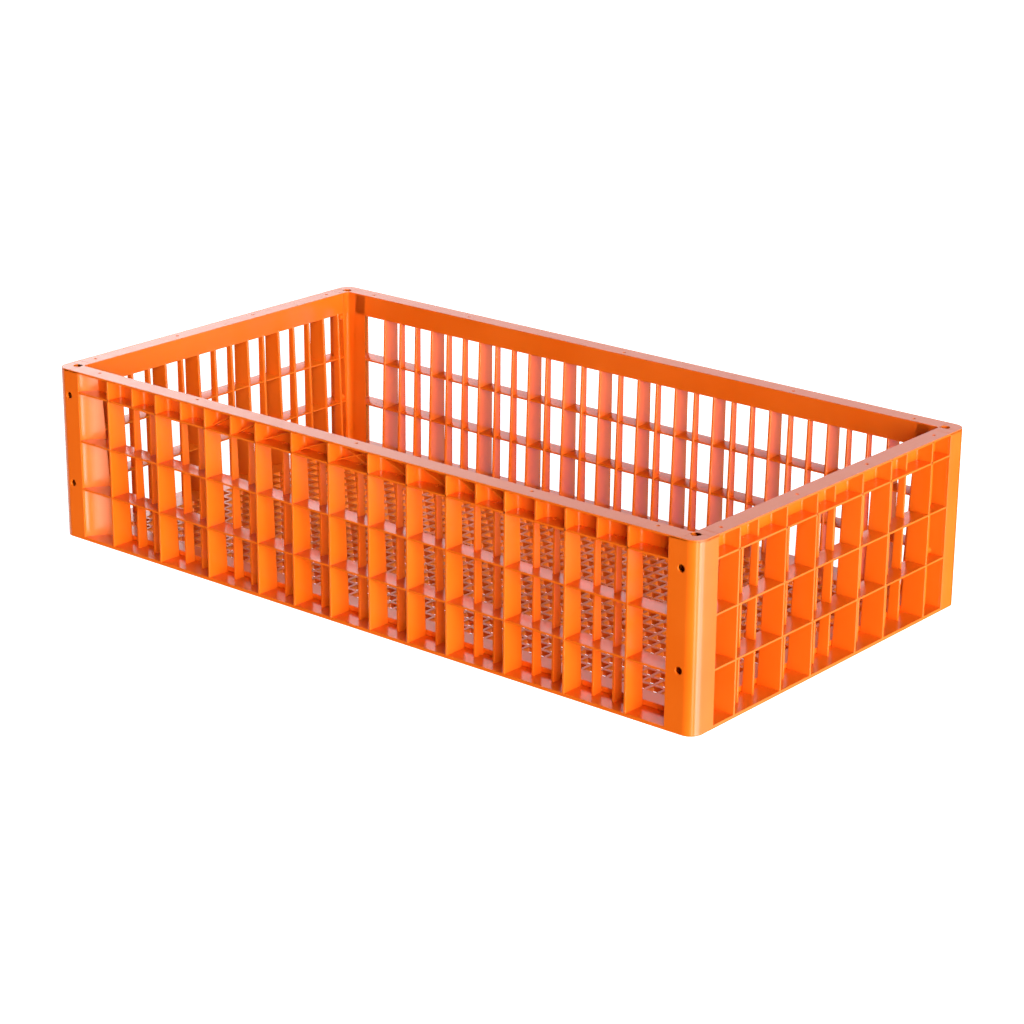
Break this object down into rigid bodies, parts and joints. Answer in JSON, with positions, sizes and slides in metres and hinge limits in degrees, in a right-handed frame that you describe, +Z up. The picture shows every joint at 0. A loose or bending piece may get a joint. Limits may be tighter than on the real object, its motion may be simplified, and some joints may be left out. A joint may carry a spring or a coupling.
{
  "type": "poultry transport crate",
  "caption": "Open low rectangular moulded plastic crate with slatted walls, a square-grid floor, rounded corner posts and a flat screw-hole rim, for moving live poultry.",
  "frame": {"origin": "centre of the underside, on the surface that the crate stands on", "axes": "+X along the long side towards the right end, +Y from the front long wall to the rear one, +Z up"},
  "size_m": [1.12, 0.6, 0.25],
  "materials": {
    "orange_plastic": "satin moulded polypropylene, bright orange",
    "screw_steel": "dull zinc-plated"
  },
  "bodies": {
    "root": {"front_side_panel": "orange_plastic", "rear_side_panel": "orange_plastic", "left_end_panel": "orange_plastic", "right_end_panel": "orange_plastic", "floor_grid": "orange_plastic", "corner_screw_front_left_upper": "screw_steel", "corner_screw_front_left_lower": "screw_steel", "corner_screw_front_right_upper": "screw_steel", "corner_screw_front_right_lower": "screw_steel", "corner_screw_rear_left_upper": "screw_steel", "corner_screw_rear_left_lower": "screw_steel", "corner_screw_rear_right_upper": "screw_steel", "corner_screw_rear_right_lower": "screw_steel"}
  },
  "joints": []
}
